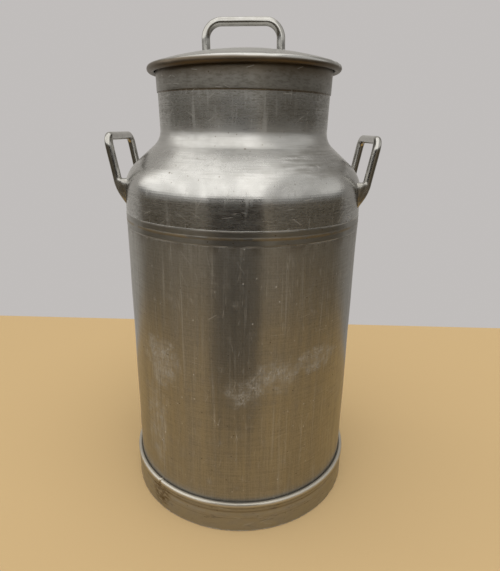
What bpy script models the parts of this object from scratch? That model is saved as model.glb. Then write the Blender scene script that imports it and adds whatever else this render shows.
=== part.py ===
"""Fifty litre aluminium milk can with a lift-off lid.

The can stands on the origin with its axis on +Z. The side handles lie on +X and -X, and the
front is -Y. Every part is turned or bent about that one axis, so each object's origin is the
world origin, which is on the line along which the lid lifts.
"""

import math

import bmesh
import bpy
from mathutils import Vector

MM = 0.001
SEGMENTS = 60          # facets round every turned part, in phase so that the gaps stay even
GAP = 0.3              # between touching parts

# Can body and foot
BODY_R = 177.0         # outer radius of the straight wall
WALL = 2.2
BOTTOM_Z = 12.0        # underside of the bottom knuckle
BOTTOM_KNUCKLE = 14.0
BOTTOM_DISH = 8.0      # rise of the bottom at the middle
HOOP_H = 51.0
HOOP_R = 183.0         # outer radius of the foot hoop's band
BEAD_R = 184.0         # outer radius of the hoop's rounded top bead
BEAD_H = 6.5
JOINT_AZIMUTH = -50.0  # the hoop's butt joint, degrees from the front towards -X

# Girth seam between the drawn cup and the shoulder
SEAM_Z = 450.0
SEAM_HALF = 10.0
SEAM_PROUD = 0.45
SEAM_DEPTH = 0.9

# Shoulder and neck
KNUCKLE_Z = 490.0      # where the wall starts to turn in
KNUCKLE = 52.0         # radius of the turn
CONE = 46.0            # slope of the shoulder from the vertical, degrees
NECK_BASE = (122.5, 574.0)
NECK_FILLET = 28.0
NECK_TAPER = 0.022
NECK_TOP = 659.8

# Mouth ring
MOUTH_FOOT = 623.8
MOUTH_TOP = 661.7
MOUTH_R = 126.0
MOUTH_BORE = 121.7

# Lid
LID_R = 137.5
LID_BEAD_Z = 656.0
LID_BEAD = 6.0
LID_T = 1.9
DOME = 0.00115         # drop of the dome per square millimetre of radius
SKIRT_R = 119.9
SKIRT_FOOT = 618.0
SKIRT_T = 2.0

# Rods
ROD = 6.0
LID_LEG = 52.8
LID_BAR_Z = 719.0
LID_BEND = 21.0
SIDE_LEG = 57.8
SIDE_BAR_X = 187.3
SIDE_BAR_Z = 565.0
SIDE_BEND = 13.0
SIDE_LEAN = 10.0       # degrees outward
FOOT_TOP = 508.5       # where a leg runs into its forged foot
FOOT_TILT = 0.25       # rise of the foot's top towards the can


def clear_scene():
    for obj in list(bpy.data.objects):
        bpy.data.objects.remove(obj, do_unlink=True)


def material(name, colour, roughness):
    mat = bpy.data.materials.new(name)
    mat.use_nodes = True
    shader = mat.node_tree.nodes["Principled BSDF"]
    shader.inputs["Base Color"].default_value = (*colour, 1)
    shader.inputs["Metallic"].default_value = 1
    shader.inputs["Roughness"].default_value = roughness
    return mat


def build(name, points, faces, mat, smooth=True):
    mesh = bpy.data.meshes.new(name)
    mesh.from_pydata([Vector(p) * MM for p in points], [], faces)
    work = bmesh.new()
    work.from_mesh(mesh)
    bmesh.ops.recalc_face_normals(work, faces=work.faces)
    work.to_mesh(mesh)
    work.free()
    for polygon in mesh.polygons:
        polygon.use_smooth = smooth
    obj = bpy.data.objects.new(name, mesh)
    bpy.context.scene.collection.objects.link(obj)
    obj.data.materials.append(mat)
    return obj


def lathe(name, profile, mat, segments=SEGMENTS):
    """Turn a closed outline of (radius, height) about the Z axis."""
    points, rings = [], []
    for radius, height in profile:
        if radius < 1e-6:
            rings.append([len(points)])
            points.append((0, 0, height))
            continue
        rings.append(range(len(points), len(points) + segments))
        for step in range(segments):
            angle = math.tau * step / segments
            points.append((radius * math.cos(angle), radius * math.sin(angle), height))
    faces = []
    count = len(profile)
    for k in range(count):
        low, high = rings[k], rings[(k + 1) % count]
        if len(low) == 1 and len(high) == 1:
            continue
        for step in range(segments):
            after = (step + 1) % segments
            if len(low) == 1:
                faces.append((low[0], high[after], high[step]))
            elif len(high) == 1:
                faces.append((low[step], low[after], high[0]))
            else:
                faces.append((low[step], low[after], high[after], high[step]))
    return build(name, points, faces, mat)


def arc(centre, radius, start, end, steps):
    """Points on an arc in the (radius, height) plane, angles in degrees from outward."""
    found = []
    for k in range(steps + 1):
        angle = math.radians(start + (end - start) * k / steps)
        found.append((centre[0] + radius * math.cos(angle), centre[1] + radius * math.sin(angle)))
    return found


def loft(name, rings, mat):
    """Skin a run of equal rings and cap both ends."""
    points = [p for ring in rings for p in ring]
    size = len(rings[0])
    faces = []
    for k in range(len(rings) - 1):
        for j in range(size):
            after = (j + 1) % size
            a, b = k * size, (k + 1) * size
            faces.append((a + j, a + after, b + after, b + j))
    faces.append(tuple(range(size)))
    faces.append(tuple(range((len(rings) - 1) * size, len(rings) * size)))
    return build(name, points, faces, mat)


def cut(obj, cutter, label):
    modifier = obj.modifiers.new(label, "BOOLEAN")
    modifier.operation = "DIFFERENCE"
    modifier.solver = "EXACT"
    modifier.object = cutter
    cutter.hide_render = True
    cutter.display_type = "WIRE"


# --- profiles ------------------------------------------------------------------------------

def neck_radius(height):
    return NECK_BASE[0] + (height - NECK_BASE[1]) * NECK_TAPER


def shoulder_outline(offset, knuckle_steps, fillet_steps):
    """The shoulder's curve from the straight wall up to the neck, moved outward by offset."""
    knuckle = arc((BODY_R - KNUCKLE, KNUCKLE_Z), KNUCKLE + offset, 0, CONE, knuckle_steps)
    centre = (NECK_BASE[0] + NECK_FILLET, NECK_BASE[1])
    fillet = arc(centre, NECK_FILLET - offset, 180 + CONE, 180, fillet_steps)
    return knuckle + fillet


def dome_height(radius, under=0.0):
    return LID_TOP - under - DOME * radius * radius


def lid_tangent():
    """Angle on the lid's rolled edge where the dome runs into it."""
    best = None
    for k in range(200, 900):
        angle = math.radians(k / 10)
        radius = LID_R - LID_BEAD + LID_BEAD * math.cos(angle)
        miss = abs(math.cos(angle) / math.sin(angle) - 2 * DOME * radius)
        if best is None or miss < best[0]:
            best = (miss, math.degrees(angle))
    return best[1]


TANGENT = lid_tangent()
EDGE_R = LID_R - LID_BEAD + LID_BEAD * math.cos(math.radians(TANGENT))
EDGE_Z = LID_BEAD_Z + LID_BEAD * math.sin(math.radians(TANGENT))
LID_TOP = EDGE_Z + DOME * EDGE_R * EDGE_R


def body_shell(mat):
    lip = BODY_R - SEAM_DEPTH
    corner = (BODY_R - BOTTOM_KNUCKLE, BOTTOM_Z + BOTTOM_KNUCKLE)
    inner = BODY_R - WALL
    outline = [(lip, SEAM_Z - GAP / 2), (lip, SEAM_Z - SEAM_HALF - GAP)]
    outline += [(BODY_R, SEAM_Z - SEAM_HALF - GAP)]
    outline += arc(corner, BOTTOM_KNUCKLE, 0, -90, 5)
    outline += [(corner[0] * f, BOTTOM_Z + BOTTOM_DISH * (1 - f * f)) for f in (0.75, 0.5, 0.25, 0)]
    top = BOTTOM_Z + WALL
    outline += [(corner[0] * f, top + BOTTOM_DISH * (1 - f * f)) for f in (0, 0.35, 0.7)]
    outline += arc(corner, BOTTOM_KNUCKLE - WALL, -90, 0, 4)
    outline += [(inner, SEAM_Z - GAP / 2)]
    return lathe("body_shell", outline, mat)


def shoulder_shell(mat):
    lip = BODY_R - SEAM_DEPTH
    outline = [(BODY_R - WALL, SEAM_Z + GAP / 2)]
    outline += shoulder_outline(-WALL, 5, 4)
    outline += [(neck_radius(NECK_TOP) - WALL, NECK_TOP)]
    outline += [(neck_radius(NECK_TOP), NECK_TOP)]
    outline += [(neck_radius(MOUTH_FOOT - 12), MOUTH_FOOT - 12)]
    outline += shoulder_outline(0, 8, 7)[::-1]
    outline += [(BODY_R, SEAM_Z + SEAM_HALF + GAP), (lip, SEAM_Z + SEAM_HALF + GAP)]
    outline += [(lip, SEAM_Z + GAP / 2)]
    return lathe("shoulder_shell", outline, mat)


def seam_weld(mat):
    inner = BODY_R - SEAM_DEPTH + GAP
    outer = BODY_R + SEAM_PROUD
    low, high = SEAM_Z - SEAM_HALF, SEAM_Z + SEAM_HALF
    outline = [(inner, low), (BODY_R, low), (outer, low + 0.8), (outer - 0.15, SEAM_Z - 1.6)]
    outline += [(outer + 0.15, SEAM_Z), (outer - 0.15, SEAM_Z + 1.6)]
    outline += [(outer, high - 0.8), (BODY_R, high), (inner, high)]
    return lathe("seam_weld", outline, mat)


def mouth_ring(mat):
    """A hoop round the neck that turns over its edge and makes the pouring lip."""
    low = neck_radius(MOUTH_FOOT) + GAP
    high = neck_radius(NECK_TOP) + GAP
    outline = [(low, MOUTH_FOOT), (low + 0.7, MOUTH_FOOT), (low + 1.3, MOUTH_FOOT + 1.2)]
    outline += [(MOUTH_R - 0.1, 655.0), (MOUTH_R, 658.8), (MOUTH_R - 0.5, 660.8)]
    outline += [(MOUTH_R - 1.7, MOUTH_TOP), (MOUTH_BORE + 0.9, MOUTH_TOP)]
    outline += [(MOUTH_BORE, MOUTH_TOP - 0.8), (MOUTH_BORE, NECK_TOP + GAP), (high, NECK_TOP + GAP)]
    return lathe("mouth_ring", outline, mat)


def foot_hoop(mat):
    inner = BODY_R + GAP
    half = BEAD_H / 2
    crown = HOOP_H - half
    outline = [(inner, 0.0), (HOOP_R - 1.0, 0.0), (HOOP_R, 1.0), (HOOP_R - 0.3, 30.0)]
    outline += [(HOOP_R - 0.8, 36.0), (HOOP_R - 0.2, 42.0), (HOOP_R - 0.2, crown - half)]
    outline += [(BEAD_R - 0.4, crown - 2.0), (BEAD_R, crown), (BEAD_R - 0.7, crown + 1.8)]
    outline += [(BEAD_R - 2.4, HOOP_H - 0.2), (BEAD_R - 4.4, HOOP_H), (inner, HOOP_H - 1.0)]
    hoop = lathe("foot_hoop", outline, mat)
    angle = math.radians(-90 + JOINT_AZIMUTH)
    out = Vector((math.cos(angle), math.sin(angle), 0))
    side = Vector((-math.sin(angle), math.cos(angle), 0))
    rings = []
    for height in (HOOP_H - 8.0, HOOP_H + 4.0):
        middle = out * (BEAD_R - 1.7) + Vector((0, 0, height))
        rings.append([middle, middle + out * 4 + side * 3.2, middle + out * 4 - side * 3.2])
    cut(hoop, loft("joint_cutter", rings, mat), "butt joint")
    return hoop


def lid_cover(mat):
    """A domed sheet whose edge rolls under into an open curl."""
    centre = (LID_R - LID_BEAD, LID_BEAD_Z)
    outline = [(EDGE_R * f, dome_height(EDGE_R * f)) for f in (0, 0.2, 0.4, 0.6, 0.8)]
    outline += arc(centre, LID_BEAD, TANGENT, -150, 10)
    outline += arc(centre, LID_BEAD - LID_T, -150, TANGENT, 6)
    outline += [(EDGE_R * f, dome_height(EDGE_R * f, LID_T)) for f in (0.86, 0.6, 0.3, 0)]
    return lathe("lid_cover", outline, mat)


def lid_skirt(mat):
    outer, inner = SKIRT_R, SKIRT_R - SKIRT_T
    top_out = dome_height(outer, LID_T) - GAP
    top_in = dome_height(inner, LID_T) - GAP
    outline = [(outer, top_out), (outer, 640.0), (outer - 0.8, SKIRT_FOOT + 6)]
    outline += [(outer - 2.2, SKIRT_FOOT + 1), (outer - 3.2, SKIRT_FOOT)]
    outline += [(outer - 4.2, SKIRT_FOOT + 0.8), (inner - 0.8, SKIRT_FOOT + 6.5)]
    outline += [(inner, 640.0), (inner, top_in)]
    return lathe("lid_skirt", outline, mat)


# --- rods ----------------------------------------------------------------------------------

def bail_path(half, top, bend, foot, bend_steps):
    """Centre line of a U in its own plane: (across, along) with along measured upward."""
    path = [(-half, foot), (-half, top - bend)]
    for k in range(1, bend_steps + 1):
        angle = math.radians(180 - 90 * k / bend_steps)
        path.append((-half + bend + bend * math.cos(angle), top - bend + bend * math.sin(angle)))
    return path + [(-x, z) for x, z in reversed(path)]


def rod(name, path, to_world, end_height, mat, sides=14):
    """Sweep a round section along a flat path, and trim both ends to the height asked for."""
    rings = []
    last = len(path) - 1
    for k, (across, along) in enumerate(path):
        before, after = path[max(k - 1, 0)], path[min(k + 1, last)]
        a, b = Vector(path[k]) - Vector(before), Vector(after) - Vector(path[k])
        tangent = (a.normalized() if a.length else b.normalized())
        tangent = (tangent + (b.normalized() if b.length else a.normalized())).normalized()
        across_rod = Vector((tangent.y, -tangent.x))
        stretch = 1.0
        if a.length and b.length:
            stretch = 1 / max(across_rod.dot(Vector((a.y, -a.x)).normalized()), 0.5)
        ring = []
        for j in range(sides):
            angle = math.tau * j / sides
            flat = Vector((across, along)) + across_rod * ROD * math.cos(angle) * stretch
            depth = ROD * math.sin(angle)
            if k in (0, last):
                flat.y = end_height(flat.x, depth)
            ring.append(to_world(flat.x, flat.y, depth))
        rings.append(ring)
    return loft(name, rings, mat)


def lid_handle(mat):
    path = bail_path(LID_LEG, LID_BAR_Z, LID_BEND, dome_height(LID_LEG), 7)
    return rod(
        "lid_handle",
        path,
        lambda x, z, depth: (x, depth, z),
        lambda x, depth: dome_height(math.hypot(x, depth)) + GAP,
        mat,
    )


def lid_weld(name, side, rough, mat):
    """A fillet of weld metal round one leg of the lid's handle."""
    steps, rings = 18, []
    for k in range(steps):
        angle = math.tau * k / steps
        lump = 1 + rough * (math.sin(5 * angle + 1) * 0.6 + math.sin(9 * angle) * 0.4)
        section = []
        for reach, rise in ((0.3, 0.0), (4.2, 0.0), (4.4, 0.7), (2.6, 2.2), (1.2, 4.0), (0.3, 4.3)):
            radius = ROD + (0.3 if reach == 0.3 else reach * lump)
            x = side * LID_LEG + radius * math.cos(angle)
            y = radius * math.sin(angle)
            section.append((x, y, dome_height(math.hypot(x, y)) + GAP + rise * lump))
        rings.append(section)
    points = [p for ring in rings for p in ring]
    size = len(rings[0])
    faces = []
    for k in range(steps):
        a, b = k * size, (k + 1) % steps * size
        for j in range(size):
            after = (j + 1) % size
            faces.append((a + j, a + after, b + after, b + j))
    return build(name, points, faces, mat)


def leg_x(height):
    return SIDE_BAR_X - (SIDE_BAR_Z - height) * math.tan(math.radians(SIDE_LEAN))


def side_handle(name, side, mat):
    lean = math.radians(SIDE_LEAN)
    length = (SIDE_BAR_Z - FOOT_TOP) / math.cos(lean)

    def to_world(across, along, depth):
        x = SIDE_BAR_X + (along - length) * math.sin(lean) + depth * math.cos(lean)
        z = SIDE_BAR_Z + (along - length) * math.cos(lean) - depth * math.sin(lean)
        return (side * x, across, z)

    def end(across, depth):
        x0, _, z0 = to_world(across, 0.0, depth)
        x0 = abs(x0)
        slope = math.sin(lean) * FOOT_TILT + math.cos(lean)
        plane = FOOT_TOP + GAP + (leg_x(FOOT_TOP) - x0) * FOOT_TILT
        return (plane - z0) / slope

    path = bail_path(SIDE_LEG, length, SIDE_BEND, 0.0, 6)
    return rod(name, path, to_world, end, mat)


def handle_foot(name, side, end, cutter, mat):
    """The forged foot of a leg, let down the can's wall and trimmed to its curve."""
    start = leg_x(FOOT_TOP)
    reach = [
        (FOOT_TOP, start + ROD + 0.1, ROD, 8.5),
        (504.0, 182.6, ROD, 8.5),
        (499.0, 181.5, ROD, 8.5),
        (493.0, 179.6, ROD, 8.2),
        (487.0, 176.9, 5.8, 7.8),
        (481.0, 173.4, 5.4, 7.0),
        (475.0, 169.6, 4.6, 6.0),
        (470.0, 166.2, 3.6, 4.8),
    ]
    rings = []
    for height, outer, half, base in reach:
        centre = outer - half
        flat = [(152.0, -base), (centre - 7.0, -base), (centre - 3.0, -half * 1.06)]
        for k in range(7):
            angle = math.radians(-90 + 180 * k / 6)
            flat.append((centre + half * math.cos(angle), half * math.sin(angle)))
        flat += [(centre - 3.0, half * 1.06), (centre - 7.0, base), (152.0, base)]
        tilt = FOOT_TILT
        ring = []
        for x, y in flat:
            ring.append((side * x, end * SIDE_LEG + y, height + (start - x) * tilt))
        rings.append(ring)
    foot = loft(name, rings, mat)
    cut(foot, cutter, "fit to the shell")
    return foot


def shell_cutter(mat):
    outline = [(0, 430.0), (BODY_R + GAP, 430.0)]
    outline += shoulder_outline(GAP, 8, 7)[:-3]
    outline += [(0, outline[-1][1])]
    return lathe("shell_cutter", outline, mat)


def main():
    clear_scene()
    satin = material("satin_aluminium", (0.42, 0.41, 0.39), 0.42)
    spun = material("spun_aluminium", (0.55, 0.55, 0.54), 0.32)
    rolled = material("rolled_aluminium", (0.5, 0.5, 0.49), 0.38)
    rod_metal = material("rod_aluminium", (0.58, 0.57, 0.55), 0.28)
    bead = material("weld_aluminium", (0.4, 0.37, 0.32), 0.5)

    body_shell(satin)
    shoulder_shell(spun)
    seam_weld(bead)
    mouth_ring(rolled)
    foot_hoop(rolled)
    cutter = shell_cutter(satin)
    for side, where in ((-1, "left"), (1, "right")):
        side_handle(f"handle_{where}", side, rod_metal)
        handle_foot(f"handle_{where}_front_foot", side, -1, cutter, rod_metal)
        handle_foot(f"handle_{where}_rear_foot", side, 1, cutter, rod_metal)
    lid_cover(spun)
    lid_skirt(rolled)
    lid_handle(rod_metal)
    lid_weld("lid_handle_weld_left", -1, 0.05, bead)
    lid_weld("lid_handle_weld_right", 1, 0.16, bead)


main()
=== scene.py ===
# %% [markdown]
# # A milk can in worn aluminium
# The can is a set of turned shells, a foot hoop, bent rods and a loose lid. The packed model is
# loaded first, because each piece below stands in for one or more of its parts. The sizes below
# are given to match it. The box round the whole model is kept, to measure the finished can against.

# %% Load the packed model
import math

import bmesh
import bpy
from mathutils import Matrix, Vector, noise


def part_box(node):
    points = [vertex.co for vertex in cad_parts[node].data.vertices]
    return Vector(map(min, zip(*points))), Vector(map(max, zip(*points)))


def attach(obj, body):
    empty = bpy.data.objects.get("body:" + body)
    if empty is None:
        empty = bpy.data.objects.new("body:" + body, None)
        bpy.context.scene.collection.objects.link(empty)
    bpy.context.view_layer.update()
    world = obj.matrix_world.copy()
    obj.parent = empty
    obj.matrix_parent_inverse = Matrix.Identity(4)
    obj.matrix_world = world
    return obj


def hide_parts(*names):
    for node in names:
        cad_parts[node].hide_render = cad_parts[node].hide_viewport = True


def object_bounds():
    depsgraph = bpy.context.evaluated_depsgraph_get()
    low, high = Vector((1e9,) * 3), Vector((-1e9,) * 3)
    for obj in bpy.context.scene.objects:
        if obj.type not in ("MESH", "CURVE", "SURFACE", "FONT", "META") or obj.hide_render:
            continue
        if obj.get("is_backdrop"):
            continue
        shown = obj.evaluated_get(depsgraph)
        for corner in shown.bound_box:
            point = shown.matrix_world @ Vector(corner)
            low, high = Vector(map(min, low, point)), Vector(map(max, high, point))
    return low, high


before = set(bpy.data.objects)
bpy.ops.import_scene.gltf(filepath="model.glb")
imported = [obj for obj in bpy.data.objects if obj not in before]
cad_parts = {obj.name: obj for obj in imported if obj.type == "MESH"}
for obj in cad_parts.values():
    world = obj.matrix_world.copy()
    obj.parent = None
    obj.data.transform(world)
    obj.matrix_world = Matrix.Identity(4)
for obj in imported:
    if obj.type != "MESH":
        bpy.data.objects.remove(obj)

CAD_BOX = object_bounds()
MM = 0.001
print("parts:", len(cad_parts), "box:", [round(v, 3) for v in CAD_BOX[1] - CAD_BOX[0]])

# %% [markdown]
# ## The camera
# A camera held about 0.6 m above the floor looks down at the can from less than a metre away, so
# the foot looks smaller than the shoulder. A long lens from far off would lose that taper. The lens
# is wide, and the camera leans by about a degree, which tips the can a little in the frame.

# %% Set the camera
CAMERA_AT = Vector((0.0303, -0.7252, 0.5778))
CAMERA_TURN = math.radians(-1.38)
CAMERA_DOWN = math.radians(18.75)
CAMERA_LEAN = math.radians(0.91)
LENS = 29.13


def set_camera():
    data = bpy.data.cameras.new("camera")
    data.lens = LENS
    data.sensor_width = 36
    camera = bpy.data.objects.new("camera", data)
    bpy.context.scene.collection.objects.link(camera)
    turn = Matrix.Rotation(-CAMERA_TURN, 4, "Z")
    tip = Matrix.Rotation(math.pi / 2 - CAMERA_DOWN, 4, "X")
    lean = Matrix.Rotation(CAMERA_LEAN, 4, "Z")
    camera.matrix_world = Matrix.Translation(CAMERA_AT) @ turn @ tip @ lean
    bpy.context.scene.camera = camera
    return camera


print("camera:", set_camera().name)

# %% [markdown]
# ## Sums on sockets
# A material is a chain of small sums. Writing them as Python sums keeps them readable, so a socket
# is wrapped in a class whose operators each add one Math node. One method makes every other node.

# %% A socket that can be added and multiplied
class Wire:
    """One output of a shader node. Sums on it add Math nodes."""

    def __init__(self, sheet, socket):
        self.sheet = sheet
        self.socket = socket

    def __add__(self, other):
        return self.sheet.maths("ADD", self, other)

    def __sub__(self, other):
        return self.sheet.maths("SUBTRACT", self, other)

    def __mul__(self, other):
        return self.sheet.maths("MULTIPLY", self, other)

    def __truediv__(self, other):
        return self.sheet.maths("DIVIDE", self, other)


    def __radd__(self, other):
        return self.sheet.maths("ADD", other, self)

    def __rsub__(self, other):
        return self.sheet.maths("SUBTRACT", other, self)

    def __rmul__(self, other):
        return self.sheet.maths("MULTIPLY", other, self)


print("a", Wire.__name__, "takes + - * and / with another wire or a number")


# %% A node tree that is written like a sheet of sums
class Sheet:
    """The node tree of one material or sky, written node by node."""

    def __init__(self, tree):
        self.tree = tree

    def node(self, kind, settings=None, values=None, out=0):
        made = self.tree.nodes.new(kind)
        for key, value in (settings or {}).items():
            setattr(made, key, value)
        for key, value in (values or {}).items():
            if isinstance(value, Wire):
                self.tree.links.new(value.socket, made.inputs[key])
            else:
                made.inputs[key].default_value = value
        if not made.outputs:
            return made
        if isinstance(out, tuple):
            return [Wire(self, made.outputs[key]) for key in out]
        return Wire(self, made.outputs[out])

    def maths(self, operation, first, second=0.0):
        return self.node("ShaderNodeMath", {"operation": operation}, {0: first, 1: second})

    def step(self, value, low, high):
        """0 at low, 1 at high, and a soft step between them. low may be the larger."""
        return self.node(
            "ShaderNodeMapRange",
            {"interpolation_type": "SMOOTHSTEP"},
            {"Value": value, "From Min": low, "From Max": high},
        )

    def mix(self, mask, below, above):
        """A colour: below where the mask is 0, above where it is 1."""
        return self.node(
            "ShaderNodeMix", {"data_type": "RGBA"}, {0: mask, 6: below, 7: above}, out=2
        )

    def split(self, vector):
        return self.node("ShaderNodeSeparateXYZ", None, {0: vector}, out=(0, 1, 2))

    def join(self, x, y, z):
        return self.node("ShaderNodeCombineXYZ", None, {0: x, 1: y, 2: z})


print("a sheet has:", ", ".join(k for k in vars(Sheet) if k[0] != "_"))

# %% [markdown]
# ## The studio
# Bright metal shows what stands round it more than its own colour. The real can stood in a lit room:
# its reflections speak of a bright ceiling, a dim horizon and a warm floor. The same bands are made
# by a sky that changes with height and direction, and a plain warm floor that ends a short way off,
# so the upper wall of the can sees the dim room past it. The camera sees a plain grey wall instead.
# The floor that the camera sees is larger than the one that the metal sees, so they are two sheets.
# Bright metal also mirrors whoever stands before it. A plain dark flag takes that place, as in any
# studio that shoots metal, and puts a soft dark stripe down the middle of the can with no figure in
# it. The camera itself can't see the flag, and it throws no shadow.

# %% Levels and colours of the studio
SKY_EDGE = 0.17        # where the bright part begins, as the sine of its height
SKY_SOFT = 0.035
SKY_BRIGHT = 1.85
SKY_DIM = 0.22         # the horizon
SKY_LOW = 0.60         # share of that which is left below the horizon
SKY_RIGHT = 0.40       # share of the light that is left on the right
SKY_BACK = 0.52        # level of the pale wall close behind
SKY_TINT = (1.0, 0.985, 0.95, 1)
WARM_TINT = (1.0, 0.83, 0.58, 1)
BACK_TINT = (1.0, 0.955, 0.89, 1)
WINDOW_AT = 0.36       # a brighter stretch of the horizon, as the sine of its direction
NEAR_FLOOR = 0.92      # radius of the floor that the metal sees
NEAR_BACK = 0.36       # and how far behind the can it goes
NEAR_COLOUR = (0.41, 0.275, 0.11, 1)
FLOOR_SIDE = 3.0
FLOOR_BACK = 0.62
FLOOR_LOW = -0.3 * MM  # just under the foot, so that the two never fight
FLOOR_COLOUR = (0.44, 0.315, 0.165, 1)
WALL_COLOUR = (0.53, 0.51, 0.50, 1)
FLAG_COLOUR = (0.055, 0.048, 0.04, 1)
LAMP_AT = (0.45, -0.5, 2.6)
LAMP_AIM = (0, 0, 0.35)
LAMP_SIZE = 1.2
LAMP_POWER = 16
print("brightest part of the sky:", SKY_BRIGHT)


# %% Two floors
def link(obj):
    bpy.context.scene.collection.objects.link(obj)
    return obj


def paint(name, colour, roughness):
    """A plain dull paint for things that are only there for the light."""
    made = bpy.data.materials.new(name)
    made.use_nodes = True
    shader = made.node_tree.nodes["Principled BSDF"]
    shader.inputs["Base Color"].default_value = colour
    shader.inputs["Roughness"].default_value = roughness
    shader.inputs["Specular IOR Level"].default_value = 0.0
    return made


def lay_floor():
    """The wide floor for the camera, and the small round one for reflections."""
    mesh = bpy.data.meshes.new("floor")
    side, back, low = FLOOR_SIDE, FLOOR_BACK, FLOOR_LOW
    corners = [(-side, -side, low), (side, -side, low), (side, back, low), (-side, back, low)]
    mesh.from_pydata(corners, [], [(0, 1, 2, 3)])
    near = bpy.data.meshes.new("near floor")
    work = bmesh.new()
    bmesh.ops.create_circle(work, cap_ends=True, radius=NEAR_FLOOR, segments=96)
    for vertex in work.verts:
        vertex.co.y = min(vertex.co.y, NEAR_BACK)
    work.to_mesh(near)
    work.free()
    floor = link(bpy.data.objects.new("floor", mesh))
    floor.visible_glossy = False
    seen = link(bpy.data.objects.new("near_floor", near))
    seen.visible_camera = False
    seen.visible_shadow = False
    seen.visible_diffuse = False
    for sheet, colour in ((floor, FLOOR_COLOUR), (seen, NEAR_COLOUR)):
        sheet.data.materials.append(paint(sheet.name, colour, 0.6))
        sheet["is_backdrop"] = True


lay_floor()
print("floors laid, the metal sees", NEAR_FLOOR, "m of one")

# %% [markdown]
# ## Sky, lamp and flag
# The sky is a sum of soft steps in height and direction, all in one Background shader. The camera
# gets another one, through Light Path, because it should see a quiet wall.

# %% Light the sky
def light_sky():
    """A sky in bands for the metal, and a plain wall for the camera."""
    world = bpy.data.worlds.new("studio")
    world.use_nodes = True
    bpy.context.scene.world = world
    world.node_tree.nodes.clear()
    sheet = Sheet(world.node_tree)
    x, y, z = sheet.split(sheet.node("ShaderNodeTexCoord", out="Generated"))
    upper = sheet.step(z, SKY_EDGE - SKY_SOFT, SKY_EDGE + SKY_SOFT)
    right = 1 - sheet.step(x, 0.22, 0.48) * (1 - SKY_RIGHT)
    low = 1 - sheet.step(z, 0.0, -0.06) * (1 - SKY_LOW)
    window = sheet.step(sheet.maths("ABSOLUTE", x - WINDOW_AT), 0.20, 0.08)
    across = sheet.join(x * 9, y, 0.0)
    panel = sheet.node("ShaderNodeTexNoise", None, {"Vector": across, "Scale": 1.0})
    panels = 0.80 + sheet.step(panel, 0.42, 0.60) * 0.4
    level = SKY_DIM * low * (0.85 + window * 0.9) + upper * (SKY_BRIGHT - SKY_DIM) * right * panels
    wall = sheet.step(y, 0.22, 0.50) * sheet.step(z, 0.90, 0.66)
    level = level + wall * (SKY_BACK * (0.55 + 0.45 * right) - level)
    warm = sheet.step(z, 0.04, -0.04) * (1 - wall)
    tint = sheet.mix(warm, SKY_TINT, WARM_TINT)
    tint = sheet.mix(wall, tint, BACK_TINT)
    lit = sheet.node("ShaderNodeBackground", None, {"Color": tint, "Strength": level})
    plain = sheet.node("ShaderNodeBackground", None, {"Color": WALL_COLOUR, "Strength": 1.0})
    seen = sheet.node("ShaderNodeLightPath", out="Is Camera Ray")
    both = sheet.node("ShaderNodeMixShader", None, {0: seen, 1: lit, 2: plain})
    sheet.node("ShaderNodeOutputWorld", None, {"Surface": both})


light_sky()
bpy.context.scene.view_settings.view_transform = "Standard"
print("sky lit, bands begin at", SKY_EDGE)


# %% Hang the lamp and stand the flag
def hang_lamp(name):
    """One soft lamp for the floor, the dust and the shadows. The metal mirrors the sky instead."""
    data = bpy.data.lights.new(name, "AREA")
    data.shape = "RECTANGLE"
    data.size = data.size_y = LAMP_SIZE
    data.energy = LAMP_POWER
    lamp = link(bpy.data.objects.new(name, data))
    lamp.location = LAMP_AT
    lamp.rotation_euler = (Vector(LAMP_AIM) - Vector(LAMP_AT)).to_track_quat("-Z", "Y").to_euler()
    lamp.visible_glossy = False


def stand_flag(name, left, right, distance, height):
    """An upright dark card facing the can, hidden from the camera."""
    mesh = bpy.data.meshes.new(name)
    low, high = (left, -distance, 0.002), (right, -distance, height)
    corners = [low, (high[0], low[1], low[2]), high, (low[0], high[1], high[2])]
    mesh.from_pydata(corners, [], [(0, 1, 2, 3)])
    flag = link(bpy.data.objects.new(name, mesh))
    flag.data.materials.append(paint(name, FLAG_COLOUR, 0.9))
    flag.visible_camera = False
    flag.visible_shadow = False
    flag.visible_diffuse = False
    flag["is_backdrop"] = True


hang_lamp("ceiling lamp")
stand_flag("narrow flag", left=-0.21, right=0.165, distance=0.50, height=0.59)
print("studio lit")

# %% [markdown]
# ## Turning
# The shells are round, so each is an outline turned about the can's axis. An outline
# lists only its corners, each with the radius that a hammer or a roller left on it, and the arcs
# are worked out. Long straight runs are divided as well, so that a wall can carry slight waves
# and dents: no real can is a perfect cylinder, and bright metal shows every wave.

# %% Outlines
SIDES = 192
FINE_SIDES = 288
RUN = 9.0              # longest straight step along an outline
GUARD = 0.4            # short step beside each arc, which keeps the flat beside it flat
TURN = 9.0             # degrees turned by each step of an arc


def rounded(corners):
    """An outline from corners of (radius, height, rounding), in millimetres."""
    made = []
    for k, (across, up, size) in enumerate(corners):
        here = Vector((across, up))
        back = Vector(corners[k - 1][:2]) - here
        ahead = Vector(corners[(k + 1) % len(corners)][:2]) - here
        if size == 0:
            made.append(here)
            continue
        angle = back.angle(ahead)
        limit = 0.48 * min(back.length, ahead.length) * math.tan(angle / 2)
        size = min(size, limit)
        reach = size / math.tan(angle / 2)
        inward = (back.normalized() + ahead.normalized()).normalized()
        middle = here + inward * size / math.sin(angle / 2)
        start = here + back.normalized() * reach - middle
        end = here + ahead.normalized() * reach - middle
        steps = max(2, math.ceil(math.degrees(math.pi - angle) / TURN))
        turns = [start.slerp(end, j / steps).normalized() for j in range(steps + 1)]
        made += [middle + turn * size for turn in turns]
    return made


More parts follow.
